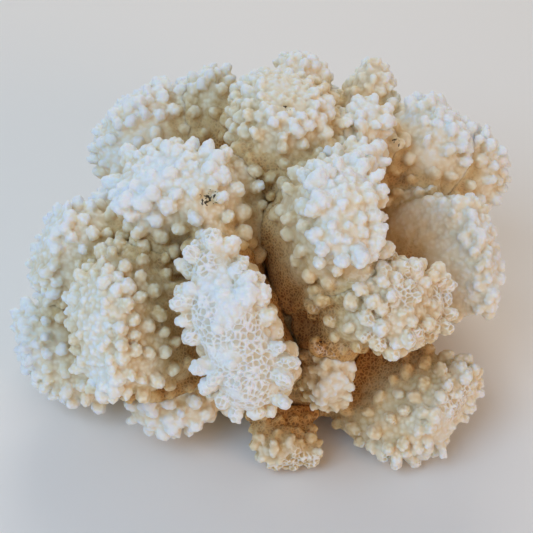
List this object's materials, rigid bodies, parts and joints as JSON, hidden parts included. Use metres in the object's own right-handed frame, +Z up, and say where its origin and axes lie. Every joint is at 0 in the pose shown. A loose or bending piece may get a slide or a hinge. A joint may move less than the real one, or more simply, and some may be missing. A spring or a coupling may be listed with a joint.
{
  "type": "branching coral",
  "caption": "Dried skeleton of a cauliflower coral colony: knobbly blades with blunt crests fork from a short stock that is cut flat to stand on.",
  "frame": {"origin": "middle of the flat cut under the stock", "axes": "+Z up, -Y towards the tallest front blade, +X to its right"},
  "size_m": [0.1678, 0.1583, 0.1065],
  "materials": {
    "coral_skeleton": "dry bleached coral skeleton, matte, white at the crests and tan in the gaps",
    "cut_stock": "dry porous coral skeleton, matte tan, sawn flat underneath"
  },
  "bodies": {
    "root": {"stock": "cut_stock", "back_left_blade": "coral_skeleton", "crown_back_blade": "coral_skeleton", "crown_back_right_blade": "coral_skeleton", "crown_blade": "coral_skeleton", "crown_bud_blade": "coral_skeleton", "crown_left_blade": "coral_skeleton", "crown_right_blade": "coral_skeleton", "front_kidney_blade": "coral_skeleton", "front_knob_blade": "coral_skeleton", "front_tall_blade": "coral_skeleton", "left_front_blade": "coral_skeleton", "left_low_blade": "coral_skeleton", "left_rear_low_blade": "coral_skeleton", "left_shoulder_blade": "coral_skeleton", "left_side_blade": "coral_skeleton", "low_front_blade": "coral_skeleton", "low_front_right_blade": "coral_skeleton", "low_left_blade": "coral_skeleton", "low_right_blade": "coral_skeleton", "rear_left_blade": "coral_skeleton", "rear_left_high_blade": "coral_skeleton", "rear_low_blade": "coral_skeleton", "rear_middle_blade": "coral_skeleton", "rear_right_blade": "coral_skeleton", "rear_right_high_blade": "coral_skeleton", "right_back_blade": "coral_skeleton", "right_fan_blade": "coral_skeleton", "right_low_blade": "coral_skeleton", "right_shoulder_blade": "coral_skeleton"}
  },
  "joints": []
}
